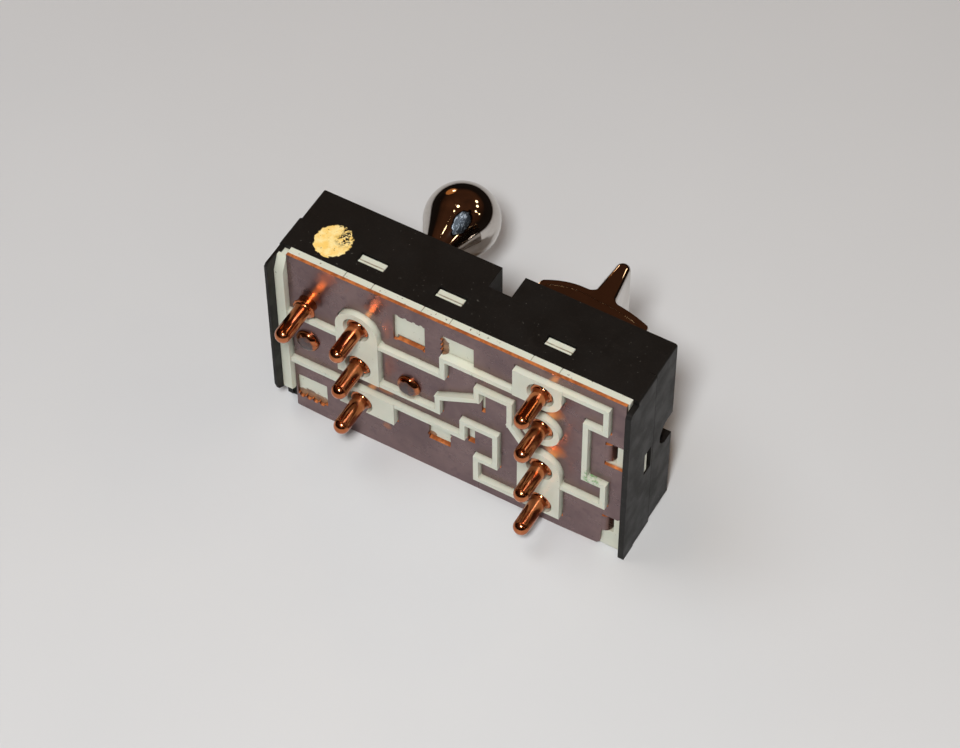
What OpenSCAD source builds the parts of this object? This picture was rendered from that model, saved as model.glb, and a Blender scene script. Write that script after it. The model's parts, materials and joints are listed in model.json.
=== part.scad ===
// Two-lever plug-in switch: a ball lever that tilts four ways and a long
// blade lever that rocks two ways, over a moulded contact base with three
// pressed contact plates and eight bullet terminals.
//
// Everything is drawn in the moulding's own axes and turned once by place():
//   x along the case, from the left end wall to the right one
//   y across the case, down from the upper long wall
//   z through the case, from the contact face (0) to the lever face (case_d)
// place() puts the centre of the lever face at the origin, levers along +Y,
// the upper long wall along +Z.

/* [Case] */
// Length of the case over both end walls
case_len = 89.66; // [89.4:0.02:90]
// Width of the case over both long walls
case_w = 54.6; // [54.4:0.1:55]
// Distance from the contact face to the lever face
case_d = 20.43; // [20.3:0.01:20.6]
// How far the left end wall stands past the contact plates
left_over = 3.0; // [2.9:0.1:3.1]
// Thickness of the long walls
wall = 1.5; // [1.4:0.1:1.6]
// Thickness of the left end wall
wall_left = 1.3; // [1.2:0.1:1.4]
// Thickness of the left end wall where it stands past the contact face
lip = 0.7; // [0.6:0.05:0.8]
// Thickness of the right end wall
wall_right = 1.4; // [1.3:0.1:1.4]
// Thickness of the lever face
face_t = 2.0; // [1.8:0.1:2.2]
// Height of the parting step around the case, from the contact face
step_z = 10.6; // [10:0.1:11]
// Depth of the parting step
step_in = 0.3; // [0.2:0.05:0.4]
// Rim of the long walls, below the contact face
rim_z = 2.4; // [2.3:0.1:2.5]

/* [Contact face] */
// Thickness of the pressed contact plates
plate_t = 0.8; // [0.7:0.05:0.8]
// Height of the dividing ribs above the plates
rib_h = 1.3; // [1:0.1:1.6]
// Width of the dividing ribs
rib_w = 1.3; // [1.2:0.1:1.4]
// Height of the terminal bosses above the plates
boss_h = 1.5; // [1.3:0.1:1.8]
// Radius of a terminal boss
boss_r = 5.4; // [5.2:0.1:5.5]

/* [Terminals] */
// Radius of a terminal's bullet body
pin_r = 1.95; // [1.8:0.05:2.1]
// Radius of a terminal's collar
collar_r = 3.0; // [2.8:0.1:3.1]
// Distance from the contact face to a terminal's tip
pin_len = 11.2; // [11:0.1:11.4]
// How far the terminal that has no boss is raised on a taller collar
pin_lift = 1.1; // [1:0.1:1.2]
// Radius of the dome of a plate rivet
rivet_r = 3.0; // [2.8:0.1:3.2]

/* [Ball lever] */
// Ball lever's place along the case
ball_x = 16.8; // [16.6:0.1:17]
// Height of the ball lever's pivot from the contact face
ball_pz = 15.0; // [14.9:0.1:15.1]
// Radius of the ball
ball_r = 9.2; // [8.8:0.1:9.6]
// Height of the ball's centre above the lever face
ball_up = 27.5; // [26:0.5:29]
// Half angle of the cone below the ball, degrees
ball_cone = 29; // [26:1:31]
// Radius of the lever's stem above the pivot
stem_r = 2.5; // [2.3:0.1:2.6]
// Radius of the lever's drive end below the pivot
drive_r = 1.6; // [1.5:0.05:1.6]

/* [Blade lever] */
// Blade lever's place along the case
blade_x = 64.9; // [64.7:0.1:65.1]
// Height of the blade lever's pivot from the contact face
blade_pz = 14.0; // [13.9:0.1:14.1]
// Half length of the crowned cap along the case
cap_half = 13.5; // [13.3:0.1:13.6]
// Radius of the cap's crown
cap_r = 36.8; // [36:0.2:40]
// Height of the crown above the lever face
cap_up = 5.0; // [4.8:0.1:5.4]
// Height of the blade's tip above the lever face
blade_up = 16.2; // [16:0.1:17]
// How much fuller the crown is on the side of the ball lever
crown_side = 0.7; // [0.5:0.1:0.9]
// Thickness of the blade at its root
blade_root = 5.4; // [5:0.1:5.6]
// Thickness of the blade near its tip
blade_tip = 3.6; // [3.4:0.1:3.8]

/* [Hidden] */
$fn = 48;
e = 0.01;

x0 = -left_over;
x1 = case_len - left_over;
mid_x = (x0 + x1) / 2;
mid_y = case_w / 2;
ix0 = x0 + wall_left;          // inside of the left end wall
ix1 = x1 - wall_right;         // inside of the right end wall
ceil_z = case_d - face_t;      // inside of the lever face
floor_z = 4.4;                 // inner face of the contact base
// Channel that parts the two lever pods
ch0 = 43.2;
ch1 = 49.0;
ch_z = 14.2;
run = 0.05;                    // running clearance on a radius

// Terminal places: [x, y, on a boss]
PINS = [[5.1, 13.9, 0], [18.4, 13.8, 1], [18.4, 26.8, 1], [18.4, 39.8, 1],
    [64.9, 7.3, 1], [65.0, 19.3, 1], [65.0, 34.0, 1], [65.0, 46.6, 1]];
RIVETS = [[4.4, 27.6], [31.0, 27.2]];

// Snap windows: centres along the long walls
SNAP_X = [17.9, 37.6, 64.7];
SNAP_W = 7.0;
SNAP_Z = [6.2, 8.9];

module place() translate([-mid_x, -case_d, mid_y]) rotate([-90, 0, 0]) children();

module box(a, b) translate(a) cube([b[0] - a[0], b[1] - a[1], b[2] - a[2]]);

// Rounded box with upright rounded corners
module rbox(a, b, r) {
    box([a[0] + r, a[1], a[2]], [b[0] - r, b[1], b[2]]);
    box([a[0], a[1] + r, a[2]], [b[0], b[1] - r, b[2]]);
    for (x = [a[0] + r, b[0] - r], y = [a[1] + r, b[1] - r])
        translate([x, y, a[2]]) cylinder(h = b[2] - a[2], r = r);
}

// Prism along x of an outline in y, z; along y of an outline in x, z
module along_x(xa, xb, pts) translate([xa, 0, 0]) rotate([90, 0, 90])
    linear_extrude(height = xb - xa) polygon(pts);
module along_y(ya, yb, pts) translate([0, yb, 0]) rotate([90, 0, 0])
    linear_extrude(height = yb - ya) polygon(pts);
module rod_x(xa, xb, y, z, r) translate([xa, y, z]) rotate([0, 90, 0]) cylinder(h = xb - xa, r = r);
module rod_y(ya, yb, x, z, r) translate([x, ya, z]) rotate([-90, 0, 0]) cylinder(h = yb - ya, r = r);

// Helical spring on the z axis, one closed tube
module coil(len, rad, wire, turns, steps = 14, sides = 6) {
    n = round(turns * steps);
    pts = [for (i = [0:n]) let (a = 360 * turns * i / n, z = wire + (len - 2 * wire) * i / n)
        for (j = [0:sides - 1]) let (b = 360 * j / sides)
            [(rad + wire * cos(b)) * cos(a), (rad + wire * cos(b)) * sin(a), z + wire * sin(b)]];
    tri = concat(
        [for (j = [1:sides - 2]) [0, j, j + 1]],
        [for (i = [0:n - 1], j = [0:sides - 1]) let (k = (j + 1) % sides)
            each [[i * sides + j, (i + 1) * sides + j, (i + 1) * sides + k],
                [i * sides + j, (i + 1) * sides + k, i * sides + k]]],
        [for (j = [1:sides - 2]) [n * sides, n * sides + j + 1, n * sides + j]]);
    polyhedron(pts, tri, convexity = 10);
}

// ---------------------------------------------------------------- case

module case_outer() {
    rbox([x0, 0, rim_z], [x1, case_w, step_z], 0.7);
    rbox([x0 + step_in, step_in, step_z - e], [x1 - step_in, case_w - step_in, case_d], 0.7);
    // left end wall, and its thin lip that stands past the contact face
    along_x(x0, ix0, [[1.0, rim_z + 1], [1.0, 0.9], [52.4, 0.9], [53.6, rim_z + 1]]);
    along_x(x0, x0 + lip, [[1.0, rim_z + 1], [1.0, -3.6], [1.6, -4.2], [43.6, -4.2], [45.8, -3.5],
        [46.9, -1.9], [47.4, 0.9], [47.4, rim_z + 1]]);
    // right end wall, with its rounded corners
    along_x(ix1, x1, [[1.4, rim_z + 1], [1.4, -0.1], [1.8, -0.8], [2.6, -1.2], [54.2, -1.2],
        [case_w, -0.8], [case_w, rim_z + 1]]);
}

module case_cavity() {
    difference() {
        box([ix0, wall, -6], [ix1, case_w - wall, ceil_z]);
        // walls and floor of the channel between the pods
        box([ch0 - wall, 0, ch_z - wall], [ch1 + wall, case_w, case_d + 1]);
    }
}

// Posts inside the left pod that hold the gimbal
module gimbal_posts() {
    for (s = [-1, 1]) box([ball_x + s * 10.6 - 1.6, mid_y - 2.6, ball_pz - 2.6],
        [ball_x + s * 10.6 + 1.6, mid_y + 2.6, ceil_z + 0.5]);
}

// Bearing blocks on the long walls that hold the blade lever's pin
module blade_blocks() {
    for (y = [0.8, case_w - 0.8 - 3.6]) box([blade_x - 3.2, y, blade_pz - 3.2],
        [blade_x + 3.2, y + 3.6, blade_pz + 3.2]);
}

// Spring abutments that hang from the lever face
module case_stops() {
    box([ball_x + 17.2, mid_y - 3, 6.0], [ball_x + 18.8, mid_y + 3, ceil_z + 0.5]);
    box([blade_x + 16.2, mid_y - 3, 5.6], [blade_x + 17.8, mid_y + 3, ceil_z + 0.5]);
}

module case_shell() color([0.13, 0.12, 0.11]) place() difference() {
    union() {
        difference() {
            case_outer();
            case_cavity();
        }
        gimbal_posts();
        blade_blocks();
        case_stops();
        // ledge in the lower left corner of the rim
        box([ix0 - e, 47.8, 1.2], [-0.1, 49.6, rim_z - 0.05]);
    }
    // the channel itself
    box([ch0, -1, ch_z], [ch1, case_w + 1, case_d + 1]);
    // hole and socket of the ball lever
    translate([ball_x, mid_y, ball_pz]) cylinder(h = 12, r = 4.7);
    translate([ball_x, mid_y, ball_pz]) sphere(r = 6.15);
    // opening of the blade lever
    box([ch1 + 1.2, wall + 0.1, ceil_z - 1], [blade_x + 15.1, case_w - wall - 0.1, case_d + 1]);
    // gimbal pin bores
    for (s = [-1, 1]) rod_x(ball_x + s * 10.2 - 1.35, ball_x + s * 10.2 + 1.35, mid_y, ball_pz, 0.8 + run);
    // blade pin bores
    rod_y(1.6, case_w - 1.6, blade_x, blade_pz, 1.5 + e);
    // snap windows in the long walls
    for (x = SNAP_X, y = [-1, case_w - wall - 0.5])
        box([x - SNAP_W / 2, y, SNAP_Z[0]], [x + SNAP_W / 2, y + wall + 1.5, SNAP_Z[1]]);
    // snap windows in the end walls
    for (x = [x0 - 1, ix1 - 0.5]) box([x, 24.3, 6.8], [x + 3.2, 31.5, 9.8]);
    // lever-side notches of the end walls
    for (x = [x0 - 1, ix1 - 0.5]) {
        box([x, 24.1, 17], [x + 3.2, 31.5, case_d + 1]);
        translate([x, 27.8, 18.3]) rotate([0, 90, 0]) cylinder(h = 3.2, r = 3.7);
    }
    for (x = [ix0 - 0.5, ix1 - 3.5]) box([x, 24.1, ceil_z - 0.5], [x + 4, 31.5, case_d + 1]);
}

// ---------------------------------------------------------------- contact base

// Rib along a polyline on the contact face, clear of the plates
module rib(pts, w = rib_w) {
    for (i = [0:len(pts) - 2]) let (a = pts[i], b = pts[i + 1], d = b - a, l = norm(d))
        translate([a[0], a[1], -rib_h]) rotate([0, 0, atan2(d[1], d[0])])
            translate([-w / 2, -w / 2, 0]) cube([l + w, w, rib_h + plate_t + 0.2]);
}

RIBS = [
    // from the left bar to the first boss, and on to the right boss
    [[0.3, 18.9], [13.4, 18.9]],
    [[23.6, 17.0], [40.3, 17.0], [40.3, 10.9], [58.6, 10.9]],
    // from the first boss around the centre plate to the right bosses
    [[23.6, 30.4], [38.9, 30.4], [38.9, 25.4], [48.9, 20.0], [48.9, 16.2], [57.2, 16.2],
        [57.2, 23.8], [60.6, 28.6]],
    // from the left bar along the long edge to the lower right boss
    [[-0.6, 35.9], [45.2, 35.9], [45.2, 30.4], [53.6, 30.4], [53.6, 41.6], [48.6, 41.6],
        [48.6, 49.2], [58.6, 49.2]],
    // right-hand loop
    [[69.6, 3.6], [80.8, 3.6], [80.8, 11.2], [76.0, 11.2], [76.0, 30.4], [80.8, 30.4],
        [80.8, 37.8], [69.6, 37.8]]];

// Boss outlines: a round top with straight sides, drawn as exact pieces
module bosses(h, z0, g = 0) {
    // first boss, terminals 2 and 3
    translate([18.4, 14.3, z0]) cylinder(h = h, r = boss_r + g);
    box([18.4 - boss_r - g, 14.3, z0], [18.4 + boss_r + g, 31.0 + g, z0 + h]);
    // terminal 4
    box([13.0 - g, 35.25 - g, z0], [27.4 + g, 42.8 + g, z0 + h]);
    // terminal 5
    box([58.0 - g, 2.95 - g, z0], [70.1 + g, 7.6, z0 + h]);
    box([58.0 - g, 2.95 - g, z0], [64.8, 11.55 + g, z0 + h]);
    intersection() {
        translate([65.2, 7.3, z0]) cylinder(h = h, r = 4.9 + g);
        box([56, 2.95 - g, z0 - 1], [72, 20, z0 + h + 1]);
    }
    // terminal 6
    translate([64.9, 19.9, z0]) cylinder(h = h, r = 4.85 + g);
    // terminals 7 and 8
    translate([64.8, 34.0, z0]) cylinder(h = h, r = boss_r + g);
    box([59.4 - g, 34.0, z0], [70.2 + g, 49.8 + g, z0 + h]);
}

// Windows in the plates, [xa, ya, xb, yb]
WINS = [[27.3, 4.3, 35.3, 12.8], [39.6, 4.1, 47.6, 10.25], [35.8, 36.55, 41.4, 43.5],
    [0.5, 42.2, 8.6, 49.6]];

module snap_arm_y(x, side) {
    // side 0 is the upper long wall, side 1 the lower one
    ya = side == 0 ? wall + 0.12 : case_w - wall - 0.12 - 1.2;
    box([x - SNAP_W / 2 + 0.3, ya, 2.6], [x + SNAP_W / 2 - 0.3, ya + 1.2, SNAP_Z[1] + 0.3]);
    // hook, with its ramp
    if (side == 0) along_x(x - SNAP_W / 2 + 0.3, x + SNAP_W / 2 - 0.3,
        [[ya + e, SNAP_Z[0] + 0.1], [0.25, SNAP_Z[0] + 0.1], [0.25, SNAP_Z[0] + 0.85],
            [0.45, SNAP_Z[0] + 0.95], [0.45, SNAP_Z[1] - 0.3], [ya + e, SNAP_Z[1] - 0.1]]);
    else along_x(x - SNAP_W / 2 + 0.3, x + SNAP_W / 2 - 0.3,
        [[ya + 1.2 - e, SNAP_Z[0] + 0.1], [case_w - 0.25, SNAP_Z[0] + 0.1],
            [case_w - 0.25, SNAP_Z[0] + 0.85], [case_w - 0.45, SNAP_Z[0] + 0.95],
            [case_w - 0.45, SNAP_Z[1] - 0.3], [ya + 1.2 - e, SNAP_Z[1] - 0.1]]);
}

module snap_arm_x(side) {
    xa = side == 0 ? ix0 + 0.12 : ix1 - 0.12 - 1.2;
    box([xa, 24.6, 2.6], [xa + 1.2, 31.2, 9.9]);
    if (side == 0) along_y(24.6, 31.2, [[xa + e, 6.9], [ix0 - 1.05, 6.9], [ix0 - 1.05, 8.3], [xa + e, 9.6]]);
    else along_y(24.6, 31.2, [[xa + 1.2 - e, 6.9], [ix1 + 1.15, 6.9], [ix1 + 1.15, 8.3], [xa + 1.2 - e, 9.6]]);
}

module base_body() {
    // flange that carries the plates and sits on the rim
    box([0.12, 0.05, plate_t], [ix1 - 0.08, 54.4, rim_z]);
    box([ix0 + 0.1, 1.2, plate_t], [1, 47.7, rim_z]);
    // plug inside the case
    box([ix0 + 0.1, wall + 0.12, rim_z - e], [ix1 - 0.1, case_w - wall - 0.12, floor_z]);
    // raised bar along the left end wall
    along_x(x0 + lip + 0.08, 0.1, [[1.2, plate_t + e], [1.2, 0], [4.9, -1.7], [46.6, -1.7],
        [47.3, -0.6], [47.3, plate_t + e]]);
    for (r = RIBS) rib(r);
    bosses(boss_h + plate_t + 0.1, -boss_h);
    for (x = SNAP_X, s = [0, 1]) snap_arm_y(x, s);
    for (s = [0, 1]) snap_arm_x(s);
    // guides of the crosswise slider
    for (x = [ball_x - 8.15, ball_x + 7.1]) box([x, mid_y - 8.6, floor_z - e], [x + 1.05, mid_y + 8.6, 7.4]);
    // guides of the lengthwise slider
    for (x = [ball_x - 13.8, ball_x + 8.4], y = [mid_y - 7.3, mid_y + 6.15])
        box([x, y, floor_z - e], [x + 5.4, y + 1.15, 9.6]);
    // spring abutments of the crosswise slider
    for (y = [mid_y - 17.8, mid_y + 16.3]) box([ball_x - 3, y, floor_z - e], [ball_x + 3, y + 1.5, 8.6]);
    // guides of the blade slider
    for (y = [mid_y - 14.3, mid_y + 13.1]) box([blade_x - 9, y, floor_z - e], [blade_x + 9, y + 1.2, 8.4]);
    // spring abutment of the blade slider
    box([blade_x - 14.3, mid_y - 3, floor_z - e], [blade_x - 12.9, mid_y + 3, 8.8]);
}

module contact_base() color([0.86, 0.87, 0.81]) place() difference() {
    base_body();
    // terminal bores and collar recesses
    for (p = PINS) {
        translate([p[0], p[1], -6]) cylinder(h = 14, r = 1.75 + e);
        if (p[2] == 1) translate([p[0], p[1], -6]) cylinder(h = 6, r = collar_r + 0.35);
    }
    for (p = RIVETS) translate([p[0], p[1], -6]) {
        cylinder(h = 14, r = 1.4 + e);
        cylinder(h = 6, r = rivet_r + 0.1);
    }
    // pockets behind the bent tabs
    box([27.9, 11.6, 0], [35.0, 13.2, 1.5]);
    box([34.6, 42.9, 0], [42.2, 44.4, 1.6]);
    box([80.0, 16.0, 0], [83.0, 22.6, 3.2]);
    box([80.0, 42.6, 0], [83.0, 48.6, 3.2]);
    box([46.6, 24.2, 0], [52.3, 25.8, 1.6]);
    box([45.95, 37.0, 0], [48.7, 38.8, 1.6]);
    // parting lines of the snap arms in the flange edge
    for (x = SNAP_X, dx = [-SNAP_W / 2 - 0.1, SNAP_W / 2 - 0.1], y = [-1, 53.75])
        box([x + dx, y, plate_t - 1], [x + dx + 0.22, y + 1.35, rim_z + 0.3]);
}

// ---------------------------------------------------------------- contact plates

g = 0.22;    // gap between a plate and a rib
hw = rib_w / 2 + g;

module plate(pts) translate([0, 0, 0]) linear_extrude(height = plate_t - e) polygon(pts);

// A tab bent down through the base: flat on the plate, then a leg
module tab_y(xa, xb, y, depth, t = 0.7) box([xa, y - t, 0], [xb, y, depth]);
module tab_x(ya, yb) along_y(ya, yb, [[80.2, 0], [80.9, 0.05], [81.7, 0.45], [82.25, 1.2],
    [82.5, 2.8], [81.8, 2.8], [81.55, 1.6], [81.1, 1.05], [80.6, plate_t - e], [80.2, plate_t - e]]);

module outer_bus_plate() color([0.45, 0.36, 0.36]) place() {
    difference() {
        union() {
            // long strip over the top, right column, and long strip below
            plate([[0.15, 0.1], [84.9, 0.1], [85.0, 15.4], [80.3, 15.4], [80.3, 23.6], [85.0, 23.6],
                [85.0, 41.4], [84.2, 42.3], [80.3, 42.3], [80.3, 49.3], [80.1, 49.9], [80.0, 53.2],
                [79.2, 54.0], [70, 54.4], [8, 54.4], [0.15, 54.0], [0.15, 36.6 + g], [12.7, 36.6 + g], [12.7, 43.1],
                [27.7, 43.1], [27.7, 36.6 + g], [46.0, 36.6 + g], [46.0, 31.1 + g], [52.9 - g, 31.1 + g],
                [52.9 - g, 40.9 - g], [47.9 - g, 40.9 - g], [47.9 - g, 50.1], [70.5, 50.1],
                [70.5, 38.5 + g], [81.5 + g, 38.5 + g], [81.5 + g, 29.6 - g], [76.7 + g, 29.6 - g],
                [76.7 + g, 12.0 + g], [81.5 + g, 12.0 + g], [81.5 + g, 2.9 - g], [57.7, 2.9 - g],
                [57.7, 10.2 - g], [39.6 - g, 10.2 - g], [39.6 - g, 16.3 - g], [25.0, 16.3 - g],
                [24.1, 15.2], [24.05, 13.0], [22.6, 10.2], [20.2, 8.9], [18.4, 8.6], [16.6, 8.9],
                [14.2, 10.2], [12.75, 13.0], [12.7, 18.25 - g], [0.15, 18.25 - g]]);
        }
        for (w = WINS) box([w[0], w[1], -1], [w[2], w[3], 3]);
        // torn edges and relief cuts of the pressed windows
        for (x = [28.2, 30.4, 32.6, 34.4]) translate([x, 4.35, -1]) cylinder(h = 3, r = 0.45);
        for (x = [1.6, 3.4, 5.2, 7.0]) translate([x, 49.7, -1]) cylinder(h = 3, r = 0.75);
        for (y = [5.4, 7.2, 8.8]) translate([39.6, y, -1]) cylinder(h = 3, r = 0.4);
        translate([36.0, 41.9, -1]) cylinder(h = 3, r = 0.6);
        translate([41.3, 39.6, -1]) cylinder(h = 3, r = 0.5);
        box([46.05, 31.2, -1], [47.8, 37.9, 3]);
        translate([PINS[0][0], PINS[0][1], -1]) cylinder(h = 3, r = 1.75 + e);
    }
    tab_y(28.2, 34.7, 13.1, 1.2);
    tab_y(34.9, 41.9, 44.2, 1.3);
    tab_y(46.05, 48.5, 38.6, 1.3);
    tab_x(16.4, 22.2);
    tab_x(43.0, 48.3);
}

module left_link_plate() color([0.45, 0.36, 0.36]) place() difference() {
    union() {
        plate([[0.3, 19.55 + g], [12.7, 19.55 + g], [12.7, 31.4], [24.2, 31.4],
            [24.2, 31.05 + g], [39.5 + g, 31.05 + g], [39.5 + g, 25.8 + g], [49.6 + g, 20.4 + g],
            [49.6 + g, 16.85 + g], [56.5 - g, 16.85 + g], [56.5 - g, 24.1], [60.2 - g, 29.3],
            [59.1, 31.5], [59.1, 48.5 - g], [49.3 + g, 48.5 - g], [49.3 + g, 42.25 + g],
            [54.3 + g, 42.25 + g], [54.3 + g, 29.7 - g], [44.5 - g, 29.7 - g],
            [44.5 - g, 35.2 - g], [0.3, 35.2 - g]]);
        tab_y(46.9, 52.1, 25.6, 1.3);
    }
    translate([RIVETS[0][0], RIVETS[0][1], -1]) cylinder(h = 3, r = 1.4 + e);
    box([49.6, 17.2, -1], [50.5, 24.7, 3]);
}

module centre_link_plate() color([0.45, 0.36, 0.36]) place() difference() {
    union() {
        plate([[24.2, 17.7 + g], [41.0 + g, 17.7 + g], [41.0 + g, 11.6 + g], [61.4, 11.6 + g],
            [62.2, 12.0], [64.0, 12.45], [65.9, 12.45], [67.8, 11.75], [69.3, 10.4], [70.2, 8.5],
            [70.4, 7.3], [70.4, 4.3 + g], [80.1 - g, 4.3 + g], [80.1 - g, 10.5 - g], [75.3 - g, 10.5 - g],
            [75.3 - g, 31.1 + g], [80.1 - g, 31.1 + g], [80.1 - g, 37.1 - g], [70.5, 37.1 - g],
            [70.45, 33.0], [69.4, 30.6], [67.4, 28.8], [64.8, 28.2], [62.2, 28.8],
            [61.4, 28.2], [57.9 + g, 23.3], [57.9 + g, 15.5 - g], [48.2 - g, 15.5 - g],
            [48.2 - g, 19.4 - g], [38.2 - g, 25.0 - g], [38.2 - g, 29.7 - g], [24.2, 29.7 - g]]);
    }
    translate([RIVETS[1][0], RIVETS[1][1], -1]) cylinder(h = 3, r = 1.4 + e);
    translate([64.9, 19.9, -1]) cylinder(h = 3, r = 5.05);
}

// ---------------------------------------------------------------- terminals

// A bullet terminal: collar, bullet, shank through the base, headed inside
module terminal(i) let (p = PINS[i], up = p[2] == 1 ? 0 : pin_lift) color([0.72, 0.36, 0.17])
    place() translate([p[0], p[1], 0]) {
        mirror([0, 0, 1]) rotate_extrude() polygon(concat(
            [[0, 0], [collar_r, 0], [collar_r, 1.1 + up], [collar_r - 0.15, 1.3 + up],
                [pin_r + 0.35, 1.36 + up], [pin_r + 0.3, 1.9 + up], [pin_r, 2.05 + up]],
            [for (a = [0:15:90]) [pin_r * cos(a), pin_len + up - pin_r + pin_r * sin(a)]]));
        translate([0, 0, -0.3]) cylinder(h = floor_z + 0.55, r = 1.75);
        translate([0, 0, floor_z]) cylinder(h = 0.55, r1 = 2.6, r2 = 2.2);
    }

module terminal_pin_1() terminal(0);
module terminal_pin_2() terminal(1);
module terminal_pin_3() terminal(2);
module terminal_pin_4() terminal(3);
module terminal_pin_5() terminal(4);
module terminal_pin_6() terminal(5);
module terminal_pin_7() terminal(6);
module terminal_pin_8() terminal(7);

module rivet(p) color([0.66, 0.36, 0.22]) place() translate([p[0], p[1], 0]) {
    mirror([0, 0, 1]) rotate_extrude() polygon(concat([[0, 0], [rivet_r, 0]],
        [for (a = [10:10:90]) [rivet_r * cos(a), 1.6 * sin(a)]]));
    translate([0, 0, -0.3]) cylinder(h = floor_z + 0.6, r = 1.4);
    translate([0, 0, floor_z]) cylinder(h = 0.5, r1 = 2.4, r2 = 2.0);
}
module left_plate_rivet() rivet(RIVETS[0]);
module centre_plate_rivet() rivet(RIVETS[1]);

// ---------------------------------------------------------------- ball lever

ball_z = case_d + ball_up;
neck_z = ball_z - 13.6;

module ball_knob() color([0.75, 0.75, 0.77]) place() translate([ball_x, mid_y, 0]) difference() {
    rotate_extrude() polygon(concat(
        [[0, neck_z], [ball_r * cos(ball_cone) - (13.6 - ball_r * sin(ball_cone)) * tan(ball_cone), neck_z]],
        [for (a = [-ball_cone:5:89]) [ball_r * cos(a), ball_z + ball_r * sin(a)]],
        [[0, ball_z + ball_r]]));
    translate([0, 0, neck_z - 1]) cylinder(h = 10, r = 2.0 + e);
}

module ball_lever_stem() color([0.62, 0.62, 0.64]) place() translate([ball_x, mid_y, 0]) difference() {
    union() {
        translate([0, 0, 6.05]) cylinder(h = ball_pz - 6.05, r = drive_r);
        translate([0, 0, ball_pz]) sphere(r = 3.0);
        translate([0, 0, ball_pz]) cylinder(h = neck_z - ball_pz - 0.02, r = stem_r);
        translate([0, 0, neck_z - 1]) cylinder(h = 9.6, r = 2.0);
    }
    rod_y(-5, 5, 0, ball_pz, 0.8 + run);
}

// Domed cap that closes the hole as the lever tilts
module ball_dust_cap() color([0.1, 0.1, 0.1]) place() translate([ball_x, mid_y, ball_pz]) difference() {
    sphere(r = 6.05);
    sphere(r = 5.25);
    translate([0, 0, -10 + 2.65]) cylinder(h = 10, r = 9);
    cylinder(h = 12, r = stem_r + e);
}

module gimbal_ring() color([0.5, 0.5, 0.52]) place() translate([ball_x, mid_y, ball_pz]) difference() {
    translate([0, 0, -1.1]) cylinder(h = 2.2, r = 7.2);
    translate([0, 0, -2]) cylinder(h = 4, r = 4.6);
    rod_x(-9, 9, 0, 0, 0.8 + e);
    rod_y(-9, 9, 0, 0, 0.8 + e);
}

module gimbal_pivot_pins() color([0.7, 0.7, 0.72]) place() translate([ball_x, mid_y, ball_pz])
    for (s = [-1, 1]) rod_x(s * 8.15 - 3.1, s * 8.15 + 3.1, 0, 0, 0.8);

module stem_cross_pin() color([0.7, 0.7, 0.72]) place() translate([ball_x, mid_y, ball_pz])
    rod_y(-7.0, 7.0, 0, 0, 0.8);

// Slider driven when the lever tilts along the case
lw = 12.5;
module lengthwise_slider() color([0.83, 0.8, 0.7]) place() translate([ball_x, mid_y, 0]) difference() {
    union() {
        box([-lw, -6, 8.1], [lw, 6, 9.9]);
        for (x = [-lw, lw - 3]) box([x, -6, 5.9], [x + 3, 6, 8.2]);
    }
    // slot across the case
    box([-drive_r - 0.35, -3.5, 7], [drive_r + 0.35, 3.5, 11]);
}

module lengthwise_contacts() color([0.72, 0.42, 0.25]) place() translate([ball_x, mid_y, 0])
    for (x = [-lw, lw - 3]) box([x + 0.3, -5.4, 5.1], [x + 2.7, 5.4, 5.88]);

module lengthwise_spring(s) color([0.6, 0.6, 0.62]) place() translate([ball_x, mid_y, 0])
    translate([s * (lw + 0.05), 0, 8.0]) rotate([0, s * 90, 0]) coil(4.5, 1.5, 0.22, 4);
module left_lengthwise_spring() lengthwise_spring(-1);
module right_lengthwise_spring() lengthwise_spring(1);

// Slider driven when the lever tilts across the case
module crosswise_slider() color([0.83, 0.8, 0.7]) place() translate([ball_x, mid_y, 0]) difference() {
    box([-7, -11.2, 5.9], [7, 11.2, 7.5]);
    box([-4.1, -drive_r - 0.35, 5], [4.1, drive_r + 0.35, 9]);
}

module crosswise_contact() color([0.72, 0.42, 0.25]) place() translate([ball_x, mid_y, 0])
    box([0, -10.6, 5.1], [3.2, 10.6, 5.88]);

module crosswise_spring(s) color([0.6, 0.6, 0.62]) place() translate([ball_x, mid_y, 0])
    translate([0, s * 11.25, 6.9]) rotate([-s * 90, 0, 0]) coil(5.0, 1.3, 0.2, 4.5);
module upper_crosswise_spring() crosswise_spring(-1);
module lower_crosswise_spring() crosswise_spring(1);

// ---------------------------------------------------------------- blade lever

cap_top = case_d + cap_up;
blade_top = case_d + blade_up;
blade_ya = wall + 0.4;
blade_yb = case_w - wall - 0.4;
function crown(x) = cap_top - cap_r + sqrt(cap_r * cap_r - x * x)
    + (x < 0 ? crown_side * sin(-180 * x / 14.5) : 0);

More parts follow.
